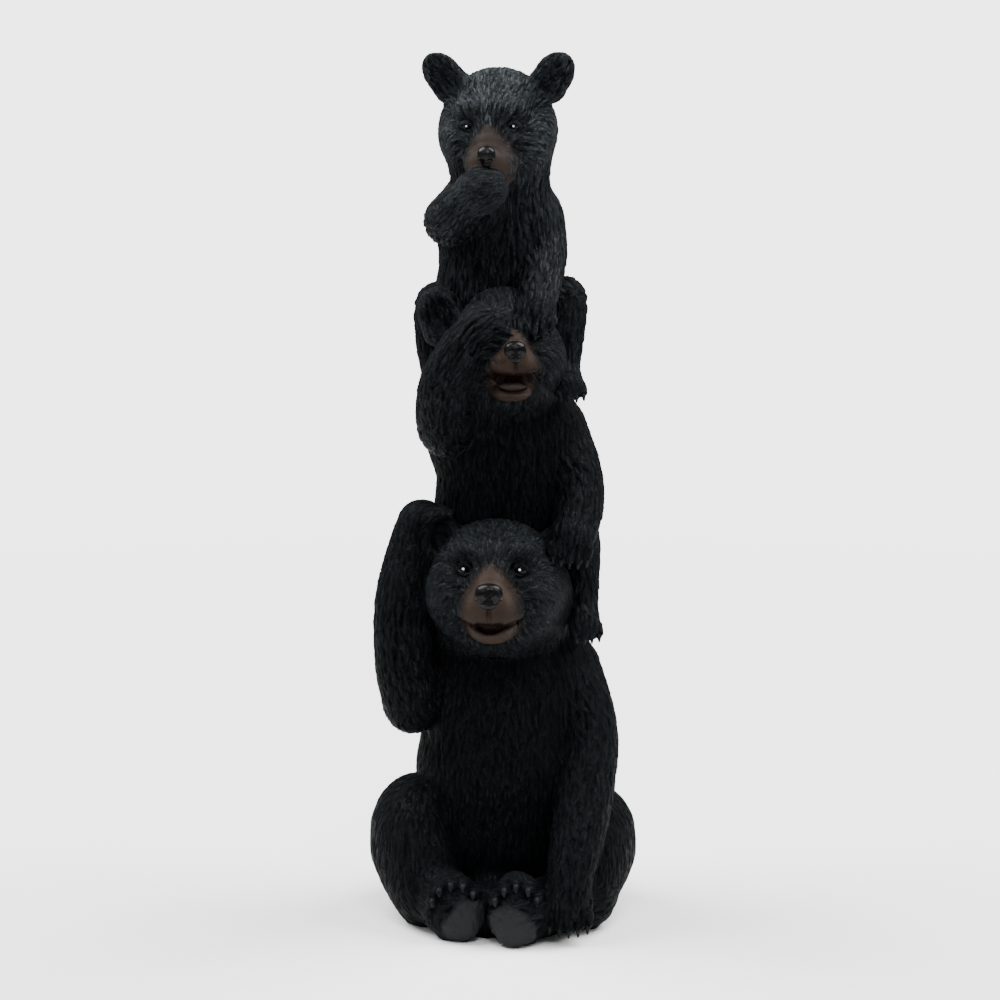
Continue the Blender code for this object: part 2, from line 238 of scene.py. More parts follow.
def euler(degrees):
    x, y, z = (math.radians(angle) for angle in degrees)
    return Matrix.Rotation(z, 3, "Z") @ Matrix.Rotation(y, 3, "Y") @ Matrix.Rotation(x, 3, "X")


def joined(first, second, blend):
    near = np.maximum(blend - np.abs(first - second), 0) / blend
    return np.minimum(first, second) - near * near * blend / 4


def placed(centre, size, turn, nod, tilt):
    spin = (
        Matrix.Rotation(math.radians(turn), 4, "Z")
        @ Matrix.Rotation(math.radians(-nod), 4, "X")
        @ Matrix.Rotation(math.radians(tilt), 4, "Y")
    )
    return Matrix.Translation(centre) @ spin @ Matrix.Scale(size, 4)


def smoothStep(values, low, high):
    share = np.clip((values - low) / (high - low), 0, 1)
    return share * share * (3 - 2 * share)


eyeSide = 12.6  # how far each eye is from the middle of a head


def head(place, weld, dustAndSheen, mouth, chin, crown=None):
    # The nose points to -Y. The mouth is its half width, its height in the middle and how far it
    # opens below that, and a fourth number, the height of its corners, grooves them. The chin is
    # its middle's height and its radius. Returns the skull and the lids
    skull = Member(weld=weld, place=place, coat="face", dustAndSheen=dustAndSheen)
    skull.ball((0, 3, 0), (29.5, 26, 27.5))
    if crown:
        skull.ball(*crown, blend=10)
    skull.ball((0, -4, -19), (21, 19, 12), blend=10)
    for side in (-1, 1):
        skull.ball((side * 15, -3, -7), (16.5, 19, 17), blend=8)
        skull.ball((side * 10.5, -18, 15.5), (9, 7, 5.5), blend=9)
        skull.ball((side * 13.5, -17, -5), (10, 7.5, 8), blend=12)
    skull.roll(((0, -10, 6), 12), ((0, -26, 2.5), 9.4), ((0, -37, -3), 7.0), blend=7)
    skull.ball((0, -27, -8.6), (13.0, 16, 8.4), blend=6)
    for side in (-1, 1):
        skull.ball((side * 5.4, -33, -8.6), (7.8, 8.6, 6.4), blend=6)
    skull.ball((0, -25.5, chin[0]), (10.2, 12.6, chin[1]), blend=4)
    skull.ball((0, -42, -1.6), (5.6, 3.6, 4.8), blend=2)
    skull.hollow((0, -43.2, -9.4), (0.7, 3, 4.2), blend=1.6)
    for side in (-1, 1):
        skull.hollow((side * eyeSide, -26, 8.8), (4.2, 5.2, 2.8), blend=3)
        if len(mouth) == 4:
            corner, turn = (side * 8.8, -35, mouth[3]), (0, side * -17, side * 22)
            skull.hollow(corner, (6.0, 9, 0.9), blend=1, turn=turn, painted=True)
    upperLip = ((0, -38, mouth[1] + 8.2), (17, 15, 8.2))
    opening = (mouth[0], 11, mouth[2] + 0.5)
    skull.hollow((0, -38, mouth[1] - 0.5), opening, blend=1.0, sparing=upperLip, painted=True)
    lids = Member(weld=0.7, place=place, coat="lid", dustAndSheen=dustAndSheen * 0.15)
    for side in (-1, 1):
        lids.roll(
            ((side * (eyeSide - 3.9), -24.7, 7.8), 0.5), ((side * (eyeSide - 2.5), -24.9, 10.2), 0.8),
            ((side * (eyeSide + 0.5), -24.2, 11.2), 1.0), ((side * (eyeSide + 3.7), -22.4, 8.4), 0.6),
            blend=1,
        )
        lids.roll(
            ((side * (eyeSide - 3.8), -24.6, 7.6), 0.5), ((side * eyeSide, -24.6, 6.1), 0.7),
            ((side * (eyeSide + 3.6), -22.2, 7.6), 0.5), blend=1,
        )
    return [skull, lids]


def ear(place, dustAndSheen, middle, width, length, lean, thickness=4.4):
    # A cupped ear around its middle point, leaning to +X and open to -Y
    cup = Member(weld=2.5, place=place, coat="short", dustAndSheen=dustAndSheen)
    middle = Vector(middle)
    turn = (0, lean, 0)
    spin = euler(turn)
    up = spin @ Vector((0, 0, 1))
    cup.ball(middle, (width / 2, thickness, length / 2), turn=turn, comb=up)
    foot = middle - up * length * 0.3
    cup.ball(foot, (width * 0.5, thickness * 1.3, length * 0.28), blend=4, turn=turn, comb=up)
    deep = middle + spin @ Vector((0, -thickness * 1.3, -length * 0.05))
    cup.hollow(deep, (width / 2 - 2.4, thickness * 1.2, length / 2 - 2.8), blend=0.9, turn=turn)
    return cup


def toes(member, claws, centre, across, forward, count, spread, radius, length, hook=(0, 0, -1)):
    # A row of toes side by side along across, each pointing forward, and a claw on each
    across, forward = Vector(across).normalized(), Vector(forward).normalized()
    hook = Vector(hook).normalized()
    for index in range(count):
        step = index - (count - 1) / 2
        root = Vector(centre) + across * step * spread
        tip = root + forward * length * (1 - 0.08 * step * step)
        member.roll((root, radius), (tip, radius * 0.8), blend=1.0)
        base = tip + forward * radius * 0.4 - hook * radius * 0.1
        middle = base + forward * radius * 0.6 + hook * radius * 0.1
        point = middle + forward * radius * 0.3 + hook * radius * 0.55
        claws.append(Roll(Matrix.Identity(4), (
            (base, radius * 0.44), (middle, radius * 0.36), (point, radius * 0.16)), 1))


def bottomBear():
    claws = []
    # Dust-and-sheen amounts: lowest on the chest and hind legs for painted shade, higher on the head and
    # arms for painted sheen
    torso = Member(weld=4, coat="long", dustAndSheen=0.03)
    torso.ball((0, 10, 30), (47, 42, 34))
    torso.ball((0, 4, 66), (40, 37, 44), blend=12)
    torso.ball((0, 4, 104), (38, 33, 34), blend=12)
    torso.ball((-27, 3, 114), (17, 20, 22), blend=12)
    torso.ball((27, 5, 112), (17, 19, 20), blend=12)
    torso.ball((0, 6, 134), (34, 27, 26), blend=14)
    torso.ball((0, 50, 18), (8, 7, 7), blend=5)
    torso.ball((-5, -36, 9), (16, 18, 13), blend=8)
    raised = Member(weld=2, coat="body", dustAndSheen=0.09)
    raised.roll(
        ((-30, 2, 120), 15), ((-40, -6, 104), 13), ((-42, -14, 101), 13),
        ((-45, -18, 122), 13.3), ((-45.5, -18, 148), 13), ((-41.5, -13, 172), 11.4),
        ((-38.5, -11, 184), 10),
    )
    raised.ball((-35.5, -12, 187), (9.5, 12, 8.5), blend=4, turn=(0, 25, 0), comb=(0.8, 0, 0.6))
    toes(raised, claws, (-31, -14, 190), (0, 1, 0), (1, 0, 0.1), 4, 4.6, 2.8, 5)
    lowered = Member(weld=2, coat="body", dustAndSheen=0.1)
    lowered.roll(
        ((30, 4, 112), 17), ((39.5, -6, 90), 14), ((40, -14, 74), 13.5),
        ((36, -34, 50), 12.6), ((31.5, -48, 32), 10.5), ((30, -53, 20), 9.5),
    )
    lowered.ball((30, -55, 18), (10.5, 7, 11), blend=3, turn=(-15, 0, 0), comb=(0, -0.3, -1))
    toes(lowered, claws, (30, -59, 14), (1, 0, 0), (0, -0.3, -1), 5, 4.3, 2.7, 5.5, hook=(0, 0, -1))
    place = placed((-2.7, -24, 161.3), 1.0, turn=-4.2, nod=0, tilt=0)
    ruff = Member(weld=5, coat="body", dustAndSheen=0.15)
    ruff.ball((18, -10, 150), (15, 17, 21))
    ruff.ball((-17, -9, 147), (17, 18, 22), blend=4)
    ruff.ball((0, -16, 137), (20, 15, 12), blend=8)
    ears = [
        ear(place, 0.15, (-27, 4, 21), 19, 22, -35),
        ear(place, 0.15, (30, 9, 17), 17, 19, 50),
    ]
    legs = [
        *haunch(claws, (-40, 0, 35), (-33, -34, 17.5), (-20.5, -51), 10, 31, 3),
        *haunch(claws, (41, 0, 33), (38, -34, 14.5), (7, -59), 0, 33, -1.5),
    ]
    face = head(place, 7, 0.28, mouth=(6.0, -13.6, 3.0, -13.4), chin=(-18.4, 6.0))
    return place, [torso, *legs, ruff, *face, *ears, raised, lowered], claws


def haunch(claws, hip, knee, foot, splay, height, soleShift):
    # A folded hind leg. Its foot stands on its heel with the smooth sole forward, leaning
    # outward by splay degrees
    leg = Member(weld=2.5, coat="long", dustAndSheen=0.06)
    side = math.copysign(1, hip[0])
    leg.ball((hip[0], hip[1] - 4, hip[2]), (22, 34, hip[2] - 6))
    leg.ball((hip[0] - side * 4, hip[1] - 22, 22), (17, 22, 24), blend=8)
    heel = (foot[0], foot[1] + 5)
    leg.roll((knee, 13.5), ((*heel, 13), 12.5), blend=6)
    lean = math.radians(splay) * side
    turn = (-10, math.degrees(lean), splay * side)
    up = Vector((math.sin(lean), 0.18, math.cos(lean)))
    across = Vector((math.cos(lean), 0, -math.sin(lean)))
    middle = Vector((foot[0], foot[1], 2)) + up * height * 0.42
    leg.ball(middle, (12.5, 9, height * 0.5), blend=5, turn=turn, comb=up)
    sole = Member(weld=1.2, coat="sole")
    below = middle + across * soleShift - up * height * 0.14 + Vector((0, -4.0, 0))
    sole.ball(below, (9.8, 6.6, height * 0.35), turn=turn)
    for index in range(5):
        fan = math.radians(31 * (index - 2))
        root = middle + across * (soleShift * 0.5 + math.sin(fan) * 10.5) + Vector((0, -2.5, 0))
        root += up * (math.cos(fan) * height * 0.34 + 0.5)
        toes(leg, claws, root, across, (0, -1, 0.1), 1, 0, 3.5, 4.5, hook=(0, -0.2, -1))
    return [leg, sole]


def middleBear():
    claws = []
    # Dust-and-sheen amounts: low on the chest for painted shade, higher on the head and ears for painted
    # sheen
    torso = Member(weld=2, coat="body", dustAndSheen=0.04)
    torso.ball((1, 18, 158), (33, 26, 26))
    torso.ball((2, 10, 186), (34, 30, 34), blend=10)
    torso.ball((2, 7, 214), (32, 28, 30), blend=10)
    torso.ball((-20, 6, 226), (15, 17, 17), blend=10)
    torso.ball((23, 6, 226), (15, 17, 17), blend=10)
    torso.ball((1, 3, 240), (27, 23, 22), blend=12)
    torso.ball((1, 44, 152), (6, 6, 6), blend=4)
    legs = [
        hangingLeg(claws, (22, 14, 166), (34, 4, 178), (35.5, -4, 160), (37, -8, 146), (38.5, -17, 138)),
        hangingLeg(claws, (-24, 14, 166), (-37, 6, 176), (-39, 2, 160), (-38, -2, 146), (-36, -9, 140)),
    ]
    raised = Member(weld=2, coat="body", dustAndSheen=0.15)
    raised.roll(
        ((-21, 6, 236), 14), ((-25, -6, 229.6), 12.5), ((-26, -14, 229.6), 12.3),
        ((-26.5, -22, 238), 12.3), ((-24.5, -30, 252), 12.2), ((-17, -37, 267), 11),
        ((-11, -39, 275), 9.8),
    )
    raised.ball((-8.5, -40, 277), (10, 7.5, 10), blend=3, comb=(0.7, 0, 0.3))
    toes(raised, claws, (-4, -44.5, 272), (0.5, 0, 1), (1, 0.1, -0.5), 4, 4.0, 2.6, 4, hook=(0.6, 0, -1))
    lowered = Member(weld=2, coat="body", dustAndSheen=0.12)
    lowered.roll(
        ((25, 6, 226), 14.5), ((33, 0, 210), 12.5), ((35.5, -7, 197), 11.5),
        ((34.5, -16, 187), 10.5), ((32, -23, 181), 9.5),
    )
    lowered.ball((31.5, -27, 180), (9.5, 7, 9), blend=3, comb=(0, -0.3, -1))
    toes(lowered, claws, (31, -31, 177), (1, 0.1, -0.15), (-0.1, -0.4, -1), 5, 3.9, 2.5, 5)
    place = placed((2, -14, 265), 0.85, turn=6, nod=4, tilt=0)
    ruff = Member(weld=5, coat="body", dustAndSheen=0.08)
    ruff.ball((2, -6, 251), (24, 20, 18))
    ruff.ball((-14, -14, 243), (14, 15, 17), blend=4)
    ears = [
        ear(place, 0.4, (-34.5, 5, 19.6), 25, 30, -20, thickness=5),
        ear(place, 0.2, (30, 8, 22), 22, 27, 28, thickness=5),
    ]
    crown = ((-3, -7, 15), (20, 17, 19))
    face = head(place, 6, 0.26, mouth=(12.4, -12.4, 7.4, -12.6), chin=(-21.4, 4.6), crown=crown)
    return place, [torso, *legs, ruff, *face, *ears, raised, lowered], claws


def hangingLeg(claws, hip, knee, shin, ankle, toe):
    # A leg that hangs astride the bear below, with its foot forward
    leg = Member(weld=2, coat="body", dustAndSheen=0.13)
    leg.roll((hip, 14), (knee, 11), (shin, 9.5), (ankle, 7.4), (toe, 6.6))
    side = (Vector(toe) - Vector(ankle)).normalized().cross(Vector((0, 0, 1)))
    toes(leg, claws, toe, side, Vector(toe) - Vector(ankle), 4, 3.6, 2.5, 5)
    return leg


def topBear():
    claws = []
    # Dust-and-sheen amounts: higher all over than on the bears below, as painted light on the top of the
    # stack, highest on the head
    torso = Member(weld=2, coat="body", dustAndSheen=0.18)
    torso.ball((-1, 18, 268), (29, 23, 23))
    torso.ball((-1, 10, 292), (29, 26, 28), blend=9)
    torso.ball((-1, 7, 314), (27, 24, 24), blend=9)
    torso.ball((-15, 6, 322), (13, 14, 14), blend=9)
    torso.ball((14, 6, 322), (13, 14, 14), blend=9)
    torso.ball((-1, 3, 338), (22, 19, 19), blend=10)
    torso.ball((-1, 41, 263), (5, 5, 5), blend=4)
    torso.ball((-10, -16, 332), (12, 14, 14), blend=6)
    legs = [
        hangingLeg(claws, (18, 14, 274), (28, 4, 287), (28, -3, 271), (28, -7, 257), (30.5, -16, 249)),
        hangingLeg(claws, (-20, 14, 274), (-29, 6, 284), (-30, 4, 268), (-30, 2, 257), (-29, -5, 250)),
    ]
    raised = Member(weld=2, coat="body", dustAndSheen=0.28)
    raised.roll(
        ((-17, 4, 330), 12), ((-22.5, -8, 325), 11.4), ((-24, -18, 324), 11),
        ((-20.5, -27, 328), 10.6), ((-16, -33, 333), 9.2),
    )
    paw = Member(weld=2, coat="paw", dustAndSheen=0.28)
    paw.ball((-9, -37.5, 337.8), (11.8, 8.2, 10.2), turn=(0, -14, 0), comb=(0.9, 0, 0.3))
    lowered = Member(weld=2, coat="body", dustAndSheen=0.32)
    lowered.roll(
        ((15, 6, 325), 13), ((18.5, 0, 312), 11), ((18.5, -8, 302), 10),
        ((16.5, -18, 293), 9.2), ((15, -27, 286), 8.4),
    )
    lowered.ball((15, -30, 283), (9, 6.5, 8), blend=3, comb=(0, -0.3, -1))
    toes(lowered, claws, (14.5, -34, 280), (1, 0.1, 0), (0, -0.4, -1), 5, 3.7, 2.4, 4.5)
    place = placed((-2, -8, 368.4), 0.84, turn=-8.5, nod=-26, tilt=0)
    ruff = Member(weld=5, coat="body", dustAndSheen=0.35)
    ruff.ball((-1, -2, 350), (23, 20, 18))
    ears = [
        ear(place, 0.45, (-27.6, 2.6, 25.4), 20.5, 28.4, -33),
        ear(place, 0.45, (31.4, 2.6, 25.4), 20.5, 28.4, 33),
    ]
    face = head(place, 5, 0.66, mouth=(6.5, -14.4, 1.6), chin=(-18.2, 6.0))
    return place, [torso, *legs, ruff, *face, *ears, raised, paw, lowered], claws


def figureDistance(members, points):
    whole = members[0].distance(points)
    for member in members[1:]:
        whole = joined(whole, member.distance(points), member.weld)
    return whole


def clayMesh(members, grain):
    # The masses joined as they overlap, in one skin of small quads
    clay = bmesh.new()
    for member in members:
        for mass in member.masses:
            mass.addTo(clay)
    mesh = bpy.data.meshes.new("clay")
    clay.to_mesh(mesh)
    clay.free()
    rough = bpy.data.objects.new("clay", mesh)
    bpy.context.scene.collection.objects.link(rough)
    skin = rough.modifiers.new("skin", "REMESH")
    skin.mode = "VOXEL"
    skin.voxel_size = grain
    graph = bpy.context.evaluated_depsgraph_get()
    skinned = bpy.data.meshes.new_from_object(rough.evaluated_get(graph))
    bpy.data.objects.remove(rough)
    bpy.data.meshes.remove(mesh)
    return skinned


def readPoints(mesh):
    points = np.empty(len(mesh.vertices) * 3)
    mesh.vertices.foreach_get("co", points)
    return points.reshape(-1, 3)


def readNormals(mesh):
    normals = np.empty(len(mesh.vertices) * 3)
    mesh.vertex_normals.foreach_get("vector", normals)
    return normals.reshape(-1, 3)


def writePoints(mesh, points):
    mesh.vertices.foreach_set("co", points.ravel())
    mesh.update()


def edgePairs(mesh):
    pairs = np.empty(len(mesh.edges) * 2, np.int32)
    mesh.edges.foreach_get("vertices", pairs)
    return pairs.reshape(-1, 2)


def averaged(values, pairs, rounds, factor=0.5):
    # Evens out values over the mesh, each point with its neighbours
    count = np.zeros(len(values))
    np.add.at(count, pairs.ravel(), 1)
    values = values.copy()
    for _ in range(rounds):
        total = np.zeros_like(values)
        for first, second in ((0, 1), (1, 0)):
            if values.ndim == 1:
                total += np.bincount(pairs[:, first], values[pairs[:, second]], len(values))
            else:
                for axis in range(values.shape[1]):
                    total[:, axis] += np.bincount(
                        pairs[:, first], values[pairs[:, second], axis], len(values))
        mean = total / (count if values.ndim == 1 else count[:, None])
        values += (mean - values) * factor
    return values


def relax(mesh, members, grain):
    # Draws the skin onto the filleted form, and evens it out, a few times over
    step = grain * sculpt["relaxProbe"]
    corners = np.array([(1, -1, -1), (-1, -1, 1), (-1, 1, -1), (1, 1, 1)], float)
    pairs = edgePairs(mesh)
    points = readPoints(mesh)
    for left in reversed(range(sculpt["relaxRounds"])):
        samples = [figureDistance(members, points + corner * step) for corner in corners]
        slope = sum(c * s[:, None] for c, s in zip(corners, samples)) / (4 * step)
        steep = np.maximum((slope**2).sum(axis=1), 0.25)
        points -= slope * (sum(samples) / 4 / steep)[:, None]
        if left:
            points = averaged(points, pairs, 1, sculpt["relaxEvening"])
    writePoints(mesh, points)


combing = {
    "reach": 6,  # how far off a mass still shapes the fur, and how fast that fades
    "fade": 1.3,
    "nose": (0, -34, -3),  # where the fur of a head starts
    "cheeks": (14, 30),  # how far out it falls, and how much
    "cheekDrop": 26,
    "jaw": (10, -20),
    "jawDrop": 6,
    "rounds": 3,
}


def readCoat(members, points, normals, headPlace):
    # The way the fur lies and the size of its tufts at each point, mixed from the masses near it
    lie = np.zeros(points.shape)
    size = np.zeros((len(points), 4))
    total = np.full(len(points), 1e-9)
    headCentre = np.array(headPlace.translation)
    scale = headPlace.to_scale()[0]
    nose = np.array(headPlace @ Vector(combing["nose"]))
    for member in members:
        close = member.near(points)
        near = points[close]
        onHead = member.place is headPlace
        for mass in member.masses:
            gap = mass.distance(near)
            share = np.exp(-np.clip(gap, 0, combing["reach"]) / combing["fade"])
            share[gap > combing["reach"]] = 0
            way = mass.lie(near)
            if onHead and member.coat[2] > 0 and getattr(mass, "comb", None) is None:
                # Fur on a head runs back from the nose, and down at its sides
                way = near - nose
                outward = np.abs((near - headCentre)[:, 0]) / scale
                drop = smoothStep(outward, *combing["cheeks"]) * combing["cheekDrop"]
                low = smoothStep(near[:, 2] - headCentre[2], *combing["jaw"])
                way[:, 2] -= drop + combing["jawDrop"] * low
            way = way - normals[close] * (way * normals[close]).sum(axis=1)[:, None]
            way = way / np.maximum(np.linalg.norm(way, axis=1), 1e-6)[:, None]
            lie[close] += way * share[:, None]
            # The fourth column mixes the dust-and-sheen amount: dusted paint and painted sheen on the
            # fur, less of it as painted shade
            size[close] += np.array([*member.coat, member.dustAndSheen]) * share[:, None]
            total[close] += share
    size /= total[:, None]
    return lie, size


def combLie(lie, normals, pairs, rounds):
    # Neighbouring hairs lie alike
    for _ in range(rounds):
        lie = averaged(lie, pairs, 4, 0.6)
        lie -= normals * (lie * normals).sum(axis=1)[:, None]
        lie /= np.maximum(np.linalg.norm(lie, axis=1), 1e-6)[:, None]
    return lie


tufts = {
    "spacing": 0.72,  # gap between tufts as a share of their width
    "lengths": (0.75, 1.3), "widths": (0.75, 1.25), "heights": (0.7, 1.15),  # spread around the coat's
    "wander": 0.13,  # how far a tuft strays from the lie
    "bend": 0.9,
    "swell": 0.22, "taper": 0.55,  # shares of its length over which it widens and narrows
    "rootHeight": 0.15, "edgeHeight": 0.25,
    "facing": 0.35,  # a tuft covers only skin that faces much the way its root does
    "sink": 0.55,  # how far the skin sinks under its fur
    "bareFace": 0.95,  # how much of the fur's height the painted muzzle loses
    "padEdge": (1.3, 0.4), "groundEdge": (0.3, 2.5),
    "seed": 7,
}


def tuftHeights(points, normals, lie, size):
    # Overlapping tufts of fur. Each rises from its root to a pointed tip, with strands combed in
    random = np.random.default_rng(tufts["seed"])
    order = random.permutation(len(points))
    cell = size[order, 1] * tufts["spacing"]
    level = np.round(np.log(np.maximum(cell, 0.5)) * 3).astype(int)
    cell = np.exp(level / 3)
    keys = np.column_stack([np.floor(points[order] / cell[:, None]), level]).astype(int)
    _, first = np.unique(keys, axis=0, return_index=True)
    roots = order[np.sort(first)]
    roots = roots[size[roots, 2] > 0.05]
    tree = kdtree.KDTree(len(points))
    for index, point in enumerate(points.tolist()):
        tree.insert(point, index)
    tree.balance()
    heights = np.zeros(len(points))
    strand = np.zeros((len(points), 3))
    lengths = size[roots, 0] * random.uniform(*tufts["lengths"], len(roots))
    widths = size[roots, 1] * random.uniform(*tufts["widths"], len(roots))
    tall = size[roots, 2] * random.uniform(*tufts["heights"], len(roots))
    stray = random.normal(0, tufts["wander"], len(roots))
    bend = random.normal(0, tufts["bend"], len(roots))
    phase = random.uniform(0, 50, len(roots))
    for number, root in enumerate(roots.tolist()):
        reach = lengths[number] * 0.56
        near = np.array([found[1] for found in tree.find_range(points[root].tolist(), reach)])
        normal = normals[root]
        along = lie[root] + np.cross(normal, lie[root]) * stray[number]
        along = along - normal * (along @ normal)
        along /= max(np.linalg.norm(along), 1e-6)
        side = np.cross(normal, along)
        gap = points[near] - points[root]
        share = gap @ along / lengths[number] + 0.5
        cross = gap @ side + bend[number] * (share - 0.5) ** 2 * 2
        wide = np.sqrt(np.clip(share / tufts["swell"], 0, 1))
        half = widths[number] / 2 * wide * np.clip((1 - share) / tufts["taper"], 0, 1) ** 0.6
        facing = (normals[near] @ normal > tufts["facing"]) & (share > 0) & (share < 1)
        facing &= np.abs(cross) < half
        near, share, cross, half = near[facing], share[facing], cross[facing], half[facing]
        ratio = cross / np.maximum(half, 0.2)
        crown = 1 - np.abs(ratio) ** 1.5
        rise = tufts["rootHeight"] + (1 - tufts["rootHeight"]) * smoothStep(share, 0, 0.8)
        height = tall[number] * rise * (tufts["edgeHeight"] + (1 - tufts["edgeHeight"]) * crown)
        better = height > heights[near]
        heights[near[better]] = height[better]
        strand[near[better], 0] = cross[better]
        strand[near[better], 1] = (share[better] - 0.5) * lengths[number]
        strand[near[better], 2] = phase[number]
    return heights, strand


muzzle = {
    # half the width of the brown paint at each height, in the head's own units
    "heights": (-27, -25, -21, -16, -10, -5, 0, 5, 9, 12),
    "halfWidths": (0, 8, 11.5, 12.4, 12.4, 12.0, 10.6, 7.6, 4.4, 0),
    "edge": 3.2,
    "backEdge": (-19, -24),
}


def headLocal(points, place):
    back = np.array(place.inverted())
    return points @ back[:3, :3].T + back[:3, 3]


def muzzlePaint(points, members, place):
    # The painted muzzle, and the dark paint of the mouth that is also painted shade inside it, on the
    # head alone
    local = headLocal(points, place)
    own = np.min([m.distance(points) for m in members if m.place is place], axis=0)
    other = np.min([m.distance(points) for m in members if m.place is not place], axis=0)
    own = smoothStep(other - own, 0, 0.8)
    half = np.interp(local[:, 2], muzzle["heights"], muzzle["halfWidths"], left=0, right=0)
    paint = smoothStep(half - np.abs(local[:, 0]), -muzzle["edge"], muzzle["edge"])
    paint *= smoothStep(local[:, 1], *muzzle["backEdge"]) * own * (half > 0)
    gap = np.full(len(points), sculpt["farOff"])
    for hollow in [hollow for member in members for hollow in member.mouth]:
        inside = hollow.distance(points)
        if hollow.spared:
            inside = np.maximum(inside, -hollow.spared.distance(points))
        gap = np.minimum(gap, inside)
    return paint, own * smoothStep(gap, 1.5, 0.6)


def cutFlat(mesh):
    # The statue stands on a flat underside
    clay = bmesh.new()
    clay.from_mesh(mesh)
    geom = clay.verts[:] + clay.edges[:] + clay.faces[:]
    bmesh.ops.bisect_plane(clay, geom=geom, plane_co=(0, 0, 0), plane_no=(0, 0, -1), clear_outer=True)
    border = [edge for edge in clay.edges if edge.is_boundary]
    bmesh.ops.holes_fill(clay, edges=border)
    bmesh.ops.triangulate(clay, faces=[face for face in clay.faces if len(face.verts) > 4])
    clay.to_mesh(mesh)
    clay.free()


def smoothBear(name, members):
    grain = sculpt["grain"][name]
    mesh = clayMesh(members, grain)
    relax(mesh, members, grain)
    if readPoints(mesh)[:, 2].min() < 0:
        cutFlat(mesh)
    return mesh


def keepValues(mesh, name, values):
    layer = mesh.attributes.new(name, "FLOAT", "POINT")
    layer.data.foreach_set("value", values.astype(np.float32))


def furBear(name, mesh, members, headPlace, shift, finish):
    points, normals, pairs = readPoints(mesh), readNormals(mesh), edgePairs(mesh)
    lie, size = readCoat(members, points, normals, headPlace)
    lie = combLie(lie, normals, pairs, combing["rounds"])
    size = averaged(size, pairs, 4)
    paint, mouth = muzzlePaint(points, members, headPlace)
    soles = [member.distance(points) for member in members if member.coat is coats["sole"]]
    pad = np.zeros(len(points))
    if soles:
        pad = smoothStep(np.min(soles, axis=0), *tufts["padEdge"])
    bare = tufts["bareFace"] * np.maximum(paint, mouth)
    size[:, 2] *= 1 - pad
    size[:, 2] *= (1 - bare) * smoothStep(points[:, 2], *tufts["groundEdge"])
    heights, strand = tuftHeights(points, normals, lie, size)
    points += normals * (heights - tufts["sink"] * size[:, 2])[:, None]
    keepValues(mesh, "paint", paint)
    keepValues(mesh, "pad", pad)
    # The mouth mask: dark mouth paint, and painted shade inside the mouth
    keepValues(mesh, "mouth", mouth)
    # How much dusted paint and painted sheen the fur carries, low where shade is painted
    keepValues(mesh, "dustAndSheen", size[:, 3])
    keepValues(mesh, "raise", heights / np.maximum(size[:, 2], 0.3))
    layer = mesh.attributes.new("strand", "FLOAT_VECTOR", "POINT")
    layer.data.foreach_set("vector", strand.astype(np.float32).ravel())
    keepValues(mesh, "furred", np.clip(size[:, 2] / 0.6, 0, 1))
    writePoints(mesh, insideBox(points, shift))
    return finishPiece(name, mesh, finish)


def insideBox(points, shift):
    points = (points + shift) * unit
    low, high = np.array(cadBox[0]), np.array(cadBox[1])
    margin = sculpt["boxMargin"]
    return np.clip(points, low + (margin, margin, 0), high - margin)


def thinOut(piece, face, reach):
    # Takes triangles away where the form is plain, so that the face and the tufts keep theirs
    points = readPoints(piece.data)
    spare = piece.vertex_groups.new(name="spare")
    spare.add(range(len(points)), 1.0, "REPLACE")
    near = np.linalg.norm(points - face, axis=1) < reach
    spare.add(np.nonzero(near)[0].tolist(), sculpt["faceWeight"], "REPLACE")
    piece.data.calc_loop_triangles()
    thin = piece.modifiers.new("thin", "DECIMATE")
    thin.ratio = min(1, sculpt["mostTriangles"] / len(piece.data.loop_triangles))
    thin.vertex_group, thin.vertex_group_factor = "spare", sculpt["faceCare"]
    graph = bpy.context.evaluated_depsgraph_get()
    thinned = bpy.data.meshes.new_from_object(piece.evaluated_get(graph))
    piece.modifiers.clear()
    piece.vertex_groups.clear()
    old, piece.data = piece.data, thinned
    bpy.data.meshes.remove(old)
    piece.data.name = piece.name


def finishPiece(name, mesh, finish):
    mesh.name = name
    mesh.shade_smooth()
    mesh.materials.append(finish)
    piece = bpy.data.objects.new(name, mesh)
    bpy.context.scene.collection.objects.link(piece)
    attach(piece, "root")
    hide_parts("bear_statue")
    return piece


def smallPiece(name, member, shift, finish):
    # A small part of a bear, such as its nose, modelled in the same clay
    grain = sculpt["smallGrain"][name.split("_")[1]]
    mesh = clayMesh([member], grain)
    relax(mesh, [member], grain)
    writePoints(mesh, insideBox(readPoints(mesh), shift))
    return finishPiece(name, mesh, finish)


def nosePad(place, wide):
    pad = Member(weld=1, place=place)
    pad.ball((0, -43.2, 0.0), (6.6 * wide, 3.6, 4.4))
    pad.ball((0, -42.4, 3.0), (5.4 * wide, 3.4, 2.4), blend=3)
    pad.ball((0, -43.8, -3.4), (3.4 * wide, 2.6, 2.6), blend=2.5)
    for side in (-1, 1):
        inner, outer = (side * 3.4 * wide, -46.8, -1.4), (side * 6.2 * wide, -45.6, -2.8)
        pad.hollow(inner, (1.8, 2.8, 1.3), blend=1.0, turn=(0, side * 25, side * 10))
        pad.hollow(outer, (1.8, 2, 0.5), blend=0.8, turn=(0, side * 38, 0))
    return pad


def eyeBalls(place):
    eyes = Member(weld=1, place=place)
    for side in (-1, 1):
        eyes.ball((side * eyeSide, -21.6, 8.5), (3.3, 3.3, 3.1), blend=0.1)
    return eyes


def tongue(place):
    flesh = Member(weld=1, place=place)
    flesh.ball((0, -28.2, -18.7), (8.0, 7.4, 4.3))
    flesh.hollow((0, -36, -14.4), (0.7, 9, 1.6), blend=1.2)
    return flesh


